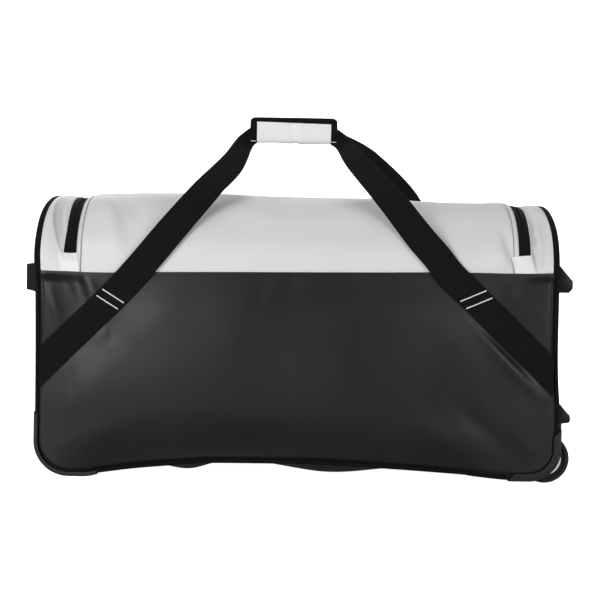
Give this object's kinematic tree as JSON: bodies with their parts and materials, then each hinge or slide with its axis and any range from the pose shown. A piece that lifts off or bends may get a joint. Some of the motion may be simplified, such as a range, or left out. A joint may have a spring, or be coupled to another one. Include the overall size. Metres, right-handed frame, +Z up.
{
  "type": "wheeled duffel bag",
  "caption": "Soft rectangular travel duffel with an arched U-zip roof, carry straps joined in a wrapped grip, corner guards and inset wheels with stand feet at one end.",
  "frame": {"origin": "middle of the overall box, on the floor that the bag rests on", "axes": "+X along the bag towards the wheels, +Y from the front to the back, +Z up"},
  "size_m": [0.872, 0.396, 0.568],
  "materials": {
    "black_fabric": "satin coated fabric",
    "grey_fabric": "satin coated fabric",
    "pale_fabric": "satin coated fabric",
    "webbing": "matte woven webbing",
    "zip": "matte woven tape",
    "guard_plastic": "satin moulded plastic",
    "foot_plastic": "satin moulded plastic",
    "hub_plastic": "satin moulded plastic",
    "tyre": "matte rubber",
    "steel": "satin steel"
  },
  "bodies": {
    "bag": {"front_panel": "black_fabric", "back_panel": "black_fabric", "bottom_panel": "black_fabric", "end_panel_left": "black_fabric", "end_panel_right": "black_fabric", "shoulder_left": "grey_fabric", "shoulder_right": "grey_fabric", "back_yoke": "grey_fabric", "lid": "grey_fabric", "lid_edge": "grey_fabric", "zip_tape": "zip", "zip_tab_left": "pale_fabric", "zip_tab_right": "pale_fabric", "zip_slider_left": "steel", "zip_slider_right": "steel", "piping_left": "webbing", "piping_right": "webbing", "piping_bottom_front": "webbing", "piping_bottom_back": "webbing", "carry_strap_front": "webbing", "carry_strap_back": "webbing", "grip_sleeve": "webbing", "grip_patch": "grey_fabric", "side_handle": "webbing", "corner_guard_front": "guard_plastic", "corner_guard_back": "guard_plastic", "wheel_housing_front": "guard_plastic", "wheel_housing_back": "guard_plastic", "stand_foot_upper_front": "foot_plastic", "stand_foot_upper_back": "foot_plastic", "stand_foot_lower_front": "foot_plastic", "stand_foot_lower_back": "foot_plastic", "axle_front": "steel", "axle_back": "steel"},
    "wheel_front": {"hub_front": "hub_plastic", "tyre_front": "tyre"},
    "wheel_back": {"hub_back": "hub_plastic", "tyre_back": "tyre"}
  },
  "joints": [
    {"name": "wheel_front_spin", "type": "hinge", "parent": "bag", "child": "wheel_front", "pos_m": [0.3965, -0.164, 0.038], "axis": [0, 1, 0], "continuous": true},
    {"name": "wheel_back_spin", "type": "hinge", "parent": "bag", "child": "wheel_back", "pos_m": [0.3965, 0.164, 0.038], "axis": [0, 1, 0], "continuous": true}
  ]
}
